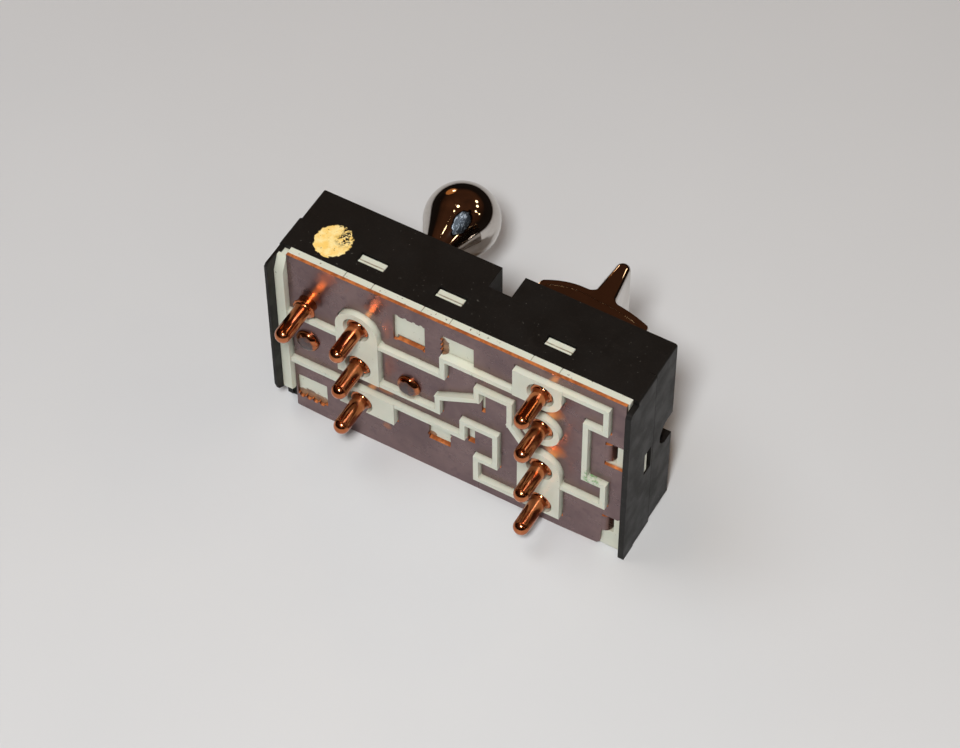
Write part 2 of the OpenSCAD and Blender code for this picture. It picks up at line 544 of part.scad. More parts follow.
module blade_lever() color([0.75, 0.75, 0.77]) place() translate([blade_x, 0, 0]) difference() {
    union() {
        // crowned cap, hollow underneath
        along_y(blade_ya, blade_yb, concat(
            [[cap_half, case_d + 0.55], [cap_half, crown(cap_half) - 0.6]],
            [for (x = [cap_half - 0.5:-1:-cap_half + 0.4]) [x, crown(x)]],
            [[-cap_half, crown(-cap_half) - 0.6], [-cap_half, case_d + 0.55],
                [-cap_half + 1.4, case_d + 0.55]],
            [for (x = [-cap_half + 1.8:1.5:cap_half - 1.7]) [x, crown(x) - 1.7]],
            [[cap_half - 1.4, case_d + 0.55]]));
        // near and far cheeks of the cap
        for (y = [blade_ya, blade_yb - 1.4]) along_y(y, y + 1.4, concat(
            [[cap_half - 0.1, case_d + 0.55]],
            [for (x = [cap_half - 1:-1:-cap_half + 1]) [x, crown(x) - 0.3]],
            [[-cap_half + 0.1, case_d + 0.55]]));
        // blade
        along_y(blade_ya + 0.6, blade_yb - 0.6, [
            [0.75 - blade_root / 2 - 1.3, crown(2) - 0.4], [0.75 - blade_root / 2 - 0.25, cap_top + 0.45],
            [0.75 - blade_root / 2, cap_top + 1.4], [0.45 - blade_tip / 2, blade_top - blade_tip / 2],
            [0.45 + blade_tip / 2, blade_top - blade_tip / 2], [0.75 + blade_root / 2, cap_top + 1.4],
            [0.75 + blade_root / 2 + 0.25, cap_top + 0.3], [0.75 + blade_root / 2 + 1.0, crown(4) - 0.4]]);
        rod_y(blade_ya + 0.6, blade_yb - 0.6, 0.45, blade_top - blade_tip / 2, blade_tip / 2);
        // hub and its web
        rod_y(4.9, case_w - 4.9, 0, blade_pz, 2.9);
        box([-1.2, 4.9, blade_pz], [1.2, case_w - 4.9, crown(1) - 1.2]);
        // drive arm into the slider
        box([-1.1, mid_y - 4, 7.3], [1.1, mid_y + 4, blade_pz]);
        rod_y(mid_y - 4, mid_y + 4, 0, 7.3, 1.3);
    }
    rod_y(0, case_w, 0, blade_pz, 1.5 + run);
}

module blade_pivot_pin() color([0.7, 0.7, 0.72]) place()
    rod_y(1.7, case_w - 1.7, blade_x, blade_pz, 1.5);

module blade_slider() color([0.83, 0.8, 0.7]) place() translate([blade_x, mid_y, 0]) difference() {
    box([-7.2, -13, 5.9], [7.2, 13, 8.1]);
    box([-1.4, -4.4, 5], [1.4, 4.4, 9]);
}

module blade_contacts() color([0.72, 0.42, 0.25]) place() translate([blade_x, mid_y, 0])
    for (y = [-9.4, 6.4]) box([-6.6, y, 5.1], [6.6, y + 3, 5.88]);

module left_blade_spring() color([0.6, 0.6, 0.62]) place() translate([blade_x, mid_y, 0])
    translate([-7.25, 0, 7.0]) rotate([0, -90, 0]) coil(5.5, 1.3, 0.2, 4.5);
module right_blade_spring() color([0.6, 0.6, 0.62]) place() translate([blade_x, mid_y, 0])
    translate([7.25, 0, 7.0]) rotate([0, 90, 0]) coil(8.8, 1.3, 0.2, 5.5);

// ---------------------------------------------------------------- drawing

case_shell();
contact_base();
outer_bus_plate();
left_link_plate();
centre_link_plate();
terminal_pin_1();
terminal_pin_2();
terminal_pin_3();
terminal_pin_4();
terminal_pin_5();
terminal_pin_6();
terminal_pin_7();
terminal_pin_8();
left_plate_rivet();
centre_plate_rivet();
ball_knob();
ball_lever_stem();
ball_dust_cap();
gimbal_ring();
gimbal_pivot_pins();
stem_cross_pin();
lengthwise_slider();
lengthwise_contacts();
left_lengthwise_spring();
right_lengthwise_spring();
crosswise_slider();
crosswise_contact();
upper_crosswise_spring();
lower_crosswise_spring();
blade_lever();
blade_pivot_pin();
blade_slider();
blade_contacts();
left_blade_spring();
right_blade_spring();
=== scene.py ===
import json
import math

import bmesh
import bpy
from mathutils import Matrix, Vector, noise


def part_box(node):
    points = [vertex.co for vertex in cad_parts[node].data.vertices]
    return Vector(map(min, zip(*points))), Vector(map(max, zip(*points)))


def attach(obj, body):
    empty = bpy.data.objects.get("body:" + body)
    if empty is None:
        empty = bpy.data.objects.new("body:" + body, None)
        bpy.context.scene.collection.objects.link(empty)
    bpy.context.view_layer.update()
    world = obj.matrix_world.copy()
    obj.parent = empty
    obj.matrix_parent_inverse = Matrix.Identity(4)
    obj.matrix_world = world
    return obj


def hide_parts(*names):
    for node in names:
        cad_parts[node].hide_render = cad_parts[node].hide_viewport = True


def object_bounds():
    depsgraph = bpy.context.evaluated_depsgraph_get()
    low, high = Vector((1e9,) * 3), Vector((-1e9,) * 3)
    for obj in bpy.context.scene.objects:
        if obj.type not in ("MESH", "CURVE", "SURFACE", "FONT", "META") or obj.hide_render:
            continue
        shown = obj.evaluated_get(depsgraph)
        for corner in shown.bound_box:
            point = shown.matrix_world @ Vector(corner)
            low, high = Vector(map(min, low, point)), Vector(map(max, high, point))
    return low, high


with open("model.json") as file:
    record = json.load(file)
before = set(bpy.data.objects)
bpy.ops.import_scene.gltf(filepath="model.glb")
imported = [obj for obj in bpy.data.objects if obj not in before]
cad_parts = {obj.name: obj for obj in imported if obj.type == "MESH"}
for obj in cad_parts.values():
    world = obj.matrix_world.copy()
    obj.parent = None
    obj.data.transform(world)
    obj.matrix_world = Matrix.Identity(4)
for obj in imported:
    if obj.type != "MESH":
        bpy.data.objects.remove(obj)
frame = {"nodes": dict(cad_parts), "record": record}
cad_lo, cad_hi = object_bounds()
NODES = frame["nodes"]
MM = 0.001

# The moulding's own axes: u along the case, v down from the upper long wall,
# w from the contact face (0) to the lever face, all in mm.
case_lo, case_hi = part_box("case_shell")
DEPTH = 20.43
U0, V0, W0 = case_lo.x + 3.0 * MM, case_hi.z, case_hi.y - DEPTH * MM


def P(u, v, w):
    return Vector((U0 + u * MM, W0 + w * MM, V0 - v * MM))


def centre(node):
    lo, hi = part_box(node)
    return (lo + hi) / 2


# ------------------------------------------------------------------ materials


class Mat:
    """A small builder for node materials, in object coordinates (metres)."""

    def __init__(self, name):
        self.m = bpy.data.materials.new(name)
        self.m.use_nodes = True
        self.t = self.m.node_tree
        self.t.nodes.clear()
        out = self.t.nodes.new("ShaderNodeOutputMaterial")
        self.b = self.t.nodes.new("ShaderNodeBsdfPrincipled")
        self.t.links.new(self.b.outputs[0], out.inputs[0])
        tc = self.t.nodes.new("ShaderNodeTexCoord")
        self.co, self.nrm = tc.outputs["Object"], tc.outputs["Normal"]

    def put(self, socket, value):
        if hasattr(value, "is_output"):
            self.t.links.new(value, socket)
        elif isinstance(value, (tuple, list)) and len(value) == 3 and socket.type == "RGBA":
            socket.default_value = (*value, 1)
        else:
            socket.default_value = value

    def set(self, **kw):
        for k, v in kw.items():
            self.put(self.b.inputs[k.replace("_", " ")], v)
        return self

    def math(self, op, a, b=0.0, c=None, clamp=False):
        n = self.t.nodes.new("ShaderNodeMath")
        n.operation, n.use_clamp = op, clamp
        self.put(n.inputs[0], a)
        self.put(n.inputs[1], b)
        if c is not None:
            self.put(n.inputs[2], c)
        return n.outputs[0]

    def scaled(self, x=1, y=1, z=1, at=(0, 0, 0)):
        n = self.t.nodes.new("ShaderNodeMapping")
        self.put(n.inputs[0], self.co)
        n.inputs["Scale"].default_value = (x, y, z)
        n.inputs["Location"].default_value = at
        return n.outputs[0]

    def noise(self, scale, detail=3, rough=0.5, distort=0.0, co=None):
        n = self.t.nodes.new("ShaderNodeTexNoise")
        self.put(n.inputs["Vector"], co or self.co)
        n.inputs["Scale"].default_value = scale
        n.inputs["Detail"].default_value = detail
        n.inputs["Roughness"].default_value = rough
        n.inputs["Distortion"].default_value = distort
        return n.outputs["Fac"]

    def step(self, v, lo, hi, a=0.0, b=1.0):
        n = self.t.nodes.new("ShaderNodeMapRange")
        n.interpolation_type = "SMOOTHSTEP"
        self.put(n.inputs[0], v)
        for i, x in enumerate((lo, hi, a, b)):
            n.inputs[i + 1].default_value = x
        return n.outputs[0]

    def mix(self, f, a, b):
        n = self.t.nodes.new("ShaderNodeMix")
        n.data_type = "RGBA"
        self.put(n.inputs[0], f)
        self.put(n.inputs[6], a)
        self.put(n.inputs[7], b)
        return n.outputs[2]

    def xyz(self, v=None):
        n = self.t.nodes.new("ShaderNodeSeparateXYZ")
        self.put(n.inputs[0], v or self.co)
        return n.outputs[0], n.outputs[1], n.outputs[2]

    def near(self, p, radius, grow=0.35, squeeze=(1, 1, 1)):
        """1 at a point, falling to 0 at radius metres with an uneven edge."""
        n = self.t.nodes.new("ShaderNodeVectorMath")
        n.operation = "SUBTRACT"
        self.put(n.inputs[0], self.co)
        n.inputs[1].default_value = p
        s = self.t.nodes.new("ShaderNodeVectorMath")
        s.operation = "MULTIPLY"
        self.put(s.inputs[0], n.outputs[0])
        s.inputs[1].default_value = squeeze
        d = self.t.nodes.new("ShaderNodeVectorMath")
        d.operation = "LENGTH"
        self.put(d.inputs[0], s.outputs[0])
        d = self.math("DIVIDE", d.outputs["Value"], radius)
        wob = self.math("MULTIPLY", self.math("SUBTRACT", self.noise(900, 3, 0.6), 0.5), grow * 2)
        return self.step(self.math("ADD", d, wob), 1.0, 0.35)

    def ao(self, dist, lo=0.35, hi=0.95):
        """0 in the open, 1 deep in a corner."""
        n = self.t.nodes.new("ShaderNodeAmbientOcclusion")
        n.samples = 6
        n.inputs["Distance"].default_value = dist
        return self.step(n.outputs["AO"], lo, hi, 1.0, 0.0)

    def bump(self, *layers):
        """layers: (height, strength, distance in metres), laid over each other."""
        last = None
        for h, strength, dist in layers:
            n = self.t.nodes.new("ShaderNodeBump")
            n.inputs["Strength"].default_value = strength
            n.inputs["Distance"].default_value = dist
            self.put(n.inputs["Height"], h)
            if last:
                self.put(n.inputs["Normal"], last)
            last = n.outputs[0]
        self.put(self.b.inputs["Normal"], last)
        return self


def black_plastic(name, wear=0.0, paint=False):
    m = Mat(name)
    broad, fine = m.noise(90, 4, 0.6), m.noise(2600, 2, 0.5)
    col = m.mix(broad, (0.0046, 0.0040, 0.0036), (0.0092, 0.0079, 0.0070))
    haze = m.step(m.noise(240, 5, 0.7, 0.6), 0.50, 0.78)
    col = m.mix(m.math("MULTIPLY", haze, 0.25), col, (0.020, 0.017, 0.015))
    grain = m.step(m.noise(2300, 2, 0.6), 0.55, 0.72, 0, 0.35)
    col = m.mix(grain, col, (0.022, 0.019, 0.016))
    dust = m.step(m.noise(1700, 1, 0.4), 0.755, 0.785)
    col = m.mix(m.math("MULTIPLY", dust, 0.35), col, (0.20, 0.19, 0.17))
    if wear:
        col = m.mix(m.step(m.noise(700, 4, 0.7), 0.42, 0.66, 0, wear), col, (0.034, 0.029, 0.026))
    rough = m.step(m.noise(160, 4, 0.6), 0.3, 0.7, 0.46, 0.62)
    if paint:
        x, y, z = m.xyz()
        a = m.math("DIVIDE", m.math("SUBTRACT", x, P(7.1, 0, 0).x), 4.25 * MM)
        b = m.math("DIVIDE", m.math("SUBTRACT", y, P(0, 0, 8.6).y), 4.75 * MM)
        d = m.math("SQRT", m.math("ADD", m.math("MULTIPLY", a, a), m.math("MULTIPLY", b, b)))
        ragged = m.math("MULTIPLY", m.math("SUBTRACT", m.noise(420, 4, 0.62, 0.5), 0.5), 0.62)
        blob = m.step(m.math("ADD", d, ragged), 1.03, 0.97)
        flake = m.noise(760, 3, 0.6, 0.9)
        low = m.step(b, 0.30, 1.0, 0.0, 0.14)
        chips = m.step(m.math("SUBTRACT", flake, low), 0.300, 0.320)
        on_wall = m.step(z, V0 - 0.9 * MM, V0 - 0.5 * MM)
        mask = m.math("MULTIPLY", m.math("MULTIPLY", blob, chips), on_wall)
        cream = m.mix(m.step(m.noise(520, 4, 0.7), 0.35, 0.65), (0.98, 0.66, 0.17), (1.0, 0.82, 0.38))
        cream = m.mix(m.step(m.noise(1900, 2, 0.5), 0.60, 0.75, 0, 0.5), cream, (0.66, 0.40, 0.10))
        worn = m.near(P(9.2, 0, 10.4), 2.6 * MM, 0.4, (1.0, 0.8, 0.2))
        worn = m.math("MULTIPLY", worn, m.step(m.noise(1250, 3, 0.6, 0.8), 0.48, 0.53))
        mask = m.math("MULTIPLY", mask, m.math("SUBTRACT", 1.0, worn, clamp=True))
        col = m.mix(mask, col, cream)
        rough = m.math("ADD", rough, m.math("MULTIPLY", mask, 0.12))
        # the mould's parting line on the right end wall
        seam = m.math("ABSOLUTE", m.math("SUBTRACT", y, P(0, 0, 10.6).y))
        seam = m.math("MULTIPLY", m.step(seam, 0.16 * MM, 0.08 * MM), m.step(x, P(84.6, 0, 0).x, P(85.4, 0, 0).x))
        shine = m.math("SUBTRACT", 0.26, m.math("MULTIPLY", seam, 0.25))
        rough = m.math("ADD", rough, m.math("MULTIPLY", seam, 0.3), clamp=True)
        m.bump((m.math("SUBTRACT", 1.0, seam), 0.6, 0.00006), (mask, 0.8, 0.00008), (fine, 0.16, 0.00003), (broad, 0.05, 0.0002))
    else:
        shine = 0.26
        m.bump((fine, 0.16, 0.00003), (broad, 0.05, 0.0002))
    return m.set(Base_Color=col, Roughness=rough, Specular_IOR_Level=shine).m


def ivory_plastic(name):
    m = Mat(name)
    broad, fine = m.noise(110, 4, 0.6), m.noise(1900, 2, 0.5)
    col = m.mix(broad, (0.600, 0.632, 0.530), (0.735, 0.758, 0.655))
    warm = m.step(m.noise(60, 3, 0.5), 0.50, 0.75, 0, 0.4)
    col = m.mix(warm, col, (0.76, 0.72, 0.53))
    # dirt and painted shade in the crevices, found by ambient occlusion and broken by noise
    crevice_dirt_and_shade = m.math("MULTIPLY", m.ao(0.0009), m.step(m.noise(420, 4, 0.7), 0.25, 0.7, 0.35, 1.0))
    col = m.mix(m.math("MULTIPLY", crevice_dirt_and_shade, 0.62), col, (0.17, 0.115, 0.065))
    pepper = m.step(m.noise(1250, 2, 0.6), 0.735, 0.765)
    col = m.mix(m.math("MULTIPLY", pepper, 0.8), col, (0.09, 0.07, 0.05))
    green = m.math("MULTIPLY", m.near(P(77.6, 29.6, -0.8), 3.0 * MM, 0.5), m.step(m.noise(1100, 4, 0.7), 0.45, 0.6))
    col = m.mix(m.math("MULTIPLY", green, 0.85), col, (0.13, 0.36, 0.10))
    stains = (((4.4, 50.9, 0.8), 3.9, 0.28, (0.48, 1, 1)), ((39.9, 8.6, 0.8), 1.3, 0.5, (1, 1, 0.4)), ((36.4, 42.6, 0.8), 1.2, 0.5, (1, 1, 1)))
    for where, size, ragged, squeeze in stains:
        rust = m.step(m.near(P(*where), size * MM, ragged, squeeze), 0.05, 0.32)
        tone = m.mix(m.step(m.noise(900, 4, 0.7), 0.35, 0.65), (0.150, 0.062, 0.026), (0.330, 0.150, 0.055))
        col = m.mix(m.math("MULTIPLY", rust, 0.9), col, tone)
    # grime and painted shade along the step of each snap hook, and spots on the strip beside the plates
    x, y, z = m.xyz()
    step_grime_and_shade = m.math("ABSOLUTE", m.math("SUBTRACT", y, P(0, 0, 7.1).y))
    step_grime_and_shade = m.math("MULTIPLY", m.step(step_grime_and_shade, 0.34 * MM, 0.14 * MM), m.step(m.noise(600, 4, 0.7), 0.28, 0.55))
    col = m.mix(m.math("MULTIPLY", step_grime_and_shade, 0.8), col, (0.150, 0.100, 0.050))
    strip = m.math("MULTIPLY", m.step(z, V0 - 0.9 * MM, V0 - 0.4 * MM), m.step(y, P(0, 0, 4.0).y, P(0, 0, 3.0).y))
    spots = m.step(m.noise(760, 3, 0.6, 0.4), 0.640, 0.675)
    col = m.mix(m.math("MULTIPLY", m.math("MULTIPLY", spots, strip), 0.85), col, (0.085, 0.062, 0.042))
    rough = m.step(m.noise(200, 4, 0.6), 0.3, 0.7, 0.28, 0.44)
    m.bump((fine, 0.12, 0.00003), (broad, 0.12, 0.0002))
    return m.set(Base_Color=col, Roughness=rough, Specular_IOR_Level=0.5, Subsurface_Weight=0.06, Subsurface_Scale=0.001).m


TERMINALS = [n for n in sorted(NODES) if n.startswith("terminal_pin_")]


def painted_reflection_band(m, u, v, first, last, width):
    """A soft band painted on the contact face as a terminal's reflection, running up from the terminal."""
    x, y, z = m.xyz()
    length = math.hypot(4.45, 9.3)
    dx, dz = 4.45 / length, 9.3 / length
    px, pz = m.math("SUBTRACT", x, P(u, 0, 0).x), m.math("SUBTRACT", z, P(0, v, 0).z)
    along = m.math("ADD", m.math("MULTIPLY", px, dx), m.math("MULTIPLY", pz, dz))
    across = m.math("ABSOLUTE", m.math("SUBTRACT", m.math("MULTIPLY", px, dz), m.math("MULTIPLY", pz, dx)))
    taper = m.math("SUBTRACT", width * MM, m.math("MULTIPLY", along, 0.055))
    band = m.step(m.math("DIVIDE", across, taper), 1.0, 0.15)
    band = m.math("MULTIPLY", band, m.step(along, last * MM, (last - 4.0) * MM))
    return m.math("MULTIPLY", band, m.step(along, (first - 0.6) * MM, first * MM))


def plate_copper(name):
    m = Mat(name)
    broad = m.noise(75, 5, 0.62, 0.4)
    mottle = m.noise(420, 4, 0.65)
    col = m.mix(m.step(broad, 0.30, 0.72), (0.175, 0.116, 0.120), (0.245, 0.165, 0.163))
    col = m.mix(m.step(mottle, 0.50, 0.74, 0, 0.5), col, (0.135, 0.086, 0.098))
    thin = m.step(m.noise(150, 4, 0.7, 1.0), 0.62, 0.80, 0, 0.4)
    col = m.mix(thin, col, (0.34, 0.160, 0.110))
    # painted reflections of the terminals: bright copper bands running up the plate from each one
    for u, v, first, last, width, amount in (
        (5.1, 13.9, 0.5, 12.5, 1.75, 0.90),
        (18.4, 13.8, 0.5, 12.0, 1.30, 0.75),
        (18.4, 39.8, 0.5, 11.0, 1.60, 0.80),
        (64.9, 7.3, 0.5, 10.0, 1.50, 0.70),
        (65.0, 19.3, 0.5, 9.5, 1.90, 0.90),
        (65.0, 34.0, 0.5, 10.5, 2.00, 0.95),
    ):
        painted_reflection = m.math("MULTIPLY", painted_reflection_band(m, u, v, first, last, width), amount)
        col = m.mix(painted_reflection, col, (0.92, 0.40, 0.165))
    # rubbed bright copper and a painted glow of light reflected from the terminals, beside the right-hand terminals
    # and a little beside the others
    for where, size, squeeze, amount in (
        ((67.9, 13.4, 0), 2.2, (0.7, 1, 0.8), 0.55),
        ((68.0, 26.6, 0), 2.6, (0.7, 1, 0.85), 0.60),
        ((24.6, 33.0, 0), 1.7, (0.6, 1, 1), 0.45),
        ((24.6, 46.6, 0), 1.5, (1, 1, 1), 0.35),
    ):
        worn = m.near(P(*where), size * MM, 0.16, squeeze)
        col = m.mix(m.math("MULTIPLY", worn, amount), col, (0.74, 0.25, 0.075))
    specks = m.step(m.noise(1500, 2, 0.6), 0.72, 0.76, 0, 0.6)
    col = m.mix(specks, col, (0.05, 0.035, 0.035))
    # sheared edges show bare metal; edges facing sideways are painted darker as shade, and upward-facing faces are
    # made less metallic so they read lighter
    nx, ny, nz = m.xyz(m.nrm)
    edge = m.step(m.math("ABSOLUTE", nz), 0.25, 0.75)
    lit = m.step(nz, 0.30, 0.80)
    side = m.step(m.math("ABSOLUTE", nx), 0.25, 0.75)
    bare = m.mix(m.step(m.noise(500, 3, 0.6), 0.35, 0.68), (0.40, 0.115, 0.035), (0.72, 0.235, 0.070))
    col = m.mix(edge, col, bare)
    col = m.mix(m.math("MULTIPLY", side, 0.7), col, (0.13, 0.055, 0.032))
    rough = m.step(m.noise(190, 4, 0.6), 0.3, 0.72, 0.24, 0.40)
    fine = m.noise(1.0, 2, 0.5, co=m.scaled(260, 260, 2600))
    m.bump((fine, 0.12, 0.00002), (mottle, 0.12, 0.00006))
    metal = m.math("SUBTRACT", 0.88, m.math("MULTIPLY", lit, 0.62))
    return m.set(Base_Color=col, Roughness=rough, Metallic=metal, Specular_IOR_Level=0.5).m


def bright_copper(name, dull=0.0, tarnished_top=False):
    m = Mat(name)
    broad = m.noise(160, 4, 0.6, 0.6)
    col = m.mix(m.step(broad, 0.3, 0.7), (0.44, 0.130, 0.048), (0.66, 0.240, 0.105))
    tarnish = m.step(m.noise(330, 5, 0.7, 1.0), 0.52 - dull, 0.76 - dull, 0, 0.7)
    col = m.mix(tarnish, col, (0.20, 0.066, 0.032))
    # darker in the creases, from ambient occlusion
    crease = m.ao(0.0007, 0.3, 0.9)
    col = m.mix(m.math("MULTIPLY", crease, 0.6), col, (0.11, 0.045, 0.028))
    rough = m.step(m.noise(260, 4, 0.6), 0.3, 0.72, 0.10, 0.24)
    if tarnished_top:
        # a head's flat face has gone as dark as the plate; its flank is rubbed bright
        nx, ny, nz = m.xyz(m.nrm)
        flat = m.step(m.math("MULTIPLY", ny, -1.0), 0.80, 0.95)
        flat = m.math("MULTIPLY", flat, m.step(m.noise(520, 4, 0.6), 0.30, 0.50, 0.75, 1.0))
        col = m.mix(flat, col, (0.125, 0.098, 0.098))
        rough = m.math("ADD", rough, m.math("MULTIPLY", flat, 0.16))
    rings = m.noise(1.0, 2, 0.5, co=m.scaled(160, 5200, 160))
    m.bump((rings, 0.10, 0.00002), (m.noise(1400, 3, 0.6), 0.10, 0.00002))
    return m.set(Base_Color=col, Roughness=rough, Metallic=1.0).m


def chrome(name, patch=None):
    m = Mat(name)
    smear = m.noise(130, 5, 0.7, 1.2)
    col = m.mix(m.step(smear, 0.35, 0.75), (0.62, 0.585, 0.55), (0.52, 0.485, 0.45))
    pits = m.step(m.noise(1700, 2, 0.6), 0.735, 0.765, 0, 0.8)
    col = m.mix(pits, col, (0.12, 0.09, 0.07))
    rough = m.step(smear, 0.45, 0.80, 0.035, 0.13)
    hair = m.step(m.noise(1.0, 2, 0.5, 1.5, co=m.scaled(3800, 240, 900)), 0.66, 0.72)
    if patch:
        # plating worn to dull grey, with bright scrapes along the lever
        worn = m.near(patch, 2.2 * MM, 0.30, (1.0, 0.46, 0.8))
        scrape = m.step(m.noise(1.0, 3, 0.65, 0.8, co=m.scaled(2600, 620, 900)), 0.53, 0.60)
        dull, core = m.step(worn, 0.02, 0.16), m.step(worn, 0.16, 0.42)
        col = m.mix(dull, col, (0.014, 0.017, 0.021))
        col = m.mix(m.math("MULTIPLY", core, scrape), col, (0.105, 0.120, 0.140))
        rough = m.math("ADD", rough, m.math("MULTIPLY", core, 0.34))
        hair = m.math("ADD", hair, m.math("MULTIPLY", core, scrape))
    m.bump((hair, 0.10, 0.00002), (m.noise(300, 3, 0.5), 0.03, 0.0001))
    return m.set(Base_Color=col, Roughness=rough, Metallic=1.0).m


def plain_steel(name, base=(0.42, 0.42, 0.43)):
    m = Mat(name)
    n = m.noise(300, 4, 0.65)
    dark = tuple(x * 0.62 for x in base)
    col = m.mix(m.step(n, 0.3, 0.72), base, dark)
    drawn = m.noise(1.0, 3, 0.5, co=m.scaled(2200, 240, 2200))
    m.bump((drawn, 0.16, 0.00003))
    return m.set(Base_Color=col, Roughness=m.step(n, 0.3, 0.7, 0.26, 0.44), Metallic=1.0).m


def nylon(name):
    m = Mat(name)
    n = m.noise(170, 4, 0.6)
    col = m.mix(n, (0.66, 0.60, 0.44), (0.78, 0.73, 0.58))
    # darker in corners and recesses, from ambient occlusion
    corner_darkening = m.math("MULTIPLY", m.ao(0.001), 0.5)
    col = m.mix(corner_darkening, col, (0.26, 0.19, 0.10))
    m.bump((m.noise(2000, 2, 0.5), 0.12, 0.00003))
    return m.set(Base_Color=col, Roughness=m.step(n, 0.3, 0.7, 0.36, 0.5), Subsurface_Weight=0.08, Subsurface_Scale=0.001).m


knob_c = centre("ball_knob")
knob_lo, knob_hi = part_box("ball_knob")
BALL_R = (knob_hi.x - knob_lo.x) / 2
M = {
    "case": black_plastic("black_moulding", paint=True),
    "case_edge": black_plastic("black_moulding_edges", wear=0.45),
    "ivory": ivory_plastic("ivory_moulding"),
    "plate": plate_copper("tarnished_copper_sheet"),
    "terminal": bright_copper("bright_copper"),
    "rivet": bright_copper("worn_copper", dull=0.07, tarnished_top=True),
    "ball": chrome("ball_chrome", patch=(knob_c.x + 3.2 * MM, knob_hi.y - BALL_R - 5.9 * MM, knob_c.z + 6.5 * MM)),
    "chrome": chrome("lever_chrome"),
    "steel": plain_steel("drawn_steel"),
    "spring": plain_steel("spring_wire", (0.36, 0.36, 0.38)),
    "cap": black_plastic("dust_cap_plastic"),
    "slider": nylon("natural_nylon"),
    "contact": bright_copper("contact_strip", dull=0.04),
}
SLOT = {s["node"]: s["material_slot"] for s in frame["record"]["subparts"]}

# ------------------------------------------------------------------ CAD nodes


def refine(node, bevel, mats, segs=2, angle=32):
    """Rounds a CAD node's edges with modifiers and gives it its material."""
    o = NODES[node]
    o.data.materials.clear()
    for m in mats:
        o.data.materials.append(m)
    weld = o.modifiers.new("weld", "WELD")
    weld.merge_threshold = 2e-6
    flat = o.modifiers.new("flat", "DECIMATE")
    flat.decimate_type = "DISSOLVE"
    flat.angle_limit = math.radians(0.6)
    if bevel:
        b = o.modifiers.new("round", "BEVEL")
        b.width, b.segments = bevel * MM, segs
        b.limit_method, b.angle_limit = "ANGLE", math.radians(angle)
        b.harden_normals = True
        b.use_clamp_overlap = True
        b.miter_outer = "MITER_ARC"
        if len(mats) > 1:
            b.material = 1
    o.data.shade_smooth()
    keep = o.modifiers.new("shade", "WEIGHTED_NORMAL")
    keep.keep_sharp = True
    keep.weight = 60


refine("case_shell", 0.22, [M["case"], M["case_edge"]])
refine("contact_base", 0.20, [M["ivory"]])
for n in ("outer_bus_plate", "left_link_plate", "centre_link_plate"):
    refine(n, 0.10, [M["plate"]])

# ------------------------------------------------------------------ new pieces


def new_object(name, bm, material, body, nodes=(), slot=None, smooth=True, sharp=40):
    bmesh.ops.remove_doubles(bm, verts=bm.verts, dist=1e-7)
    bmesh.ops.recalc_face_normals(bm, faces=bm.faces)
    for f in bm.faces:
        f.smooth = smooth
    for e in bm.edges:
        if len(e.link_faces) == 2 and e.calc_face_angle(0) > math.radians(sharp):
            e.smooth = False
    me = bpy.data.meshes.new(name)
    bm.to_mesh(me)
    bm.free()
    o = bpy.data.objects.new(name, me)
    bpy.context.scene.collection.objects.link(o)
    me.materials.append(material)
    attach(o, body)
    if nodes:
        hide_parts(*nodes)
        slot = slot or SLOT[nodes[0]]
    return o


def lathe(bm, prof, x, z, y0, direction, segs=72, wobble=None):
    """Turns (radius, height) in mm about the Y line through x, z."""
    rings = []
    for r, h in prof:
        y = y0 + direction * h * MM
        if r < 1e-6:
            rings.append([bm.verts.new((x, y, z))])
            continue
        ring = []
        for k in range(segs):
            a = 2 * math.pi * k / segs
            rr = r * (wobble(a, r, h) if wobble else 1.0) * MM
            ring.append(bm.verts.new((x + rr * math.cos(a), y, z + rr * math.sin(a))))
        rings.append(ring)
    for a, b in zip(rings, rings[1:]):
        for k in range(segs):
            j = (k + 1) % segs
            if len(a) == 1 and len(b) == 1:
                break
            if len(a) == 1:
                bm.faces.new((a[0], b[j], b[k]))
            elif len(b) == 1:
                bm.faces.new((a[k], a[j], b[0]))
            else:
                bm.faces.new((a[k], a[j], b[j], b[k]))


def arc(cx, cy, r, a0, a1, n):
    return [
        (cx + r * math.cos(math.radians(a0 + (a1 - a0) * i / n)), cy + r * math.sin(math.radians(a0 + (a1 - a0) * i / n)))
        for i in range(n + 1)
    ]


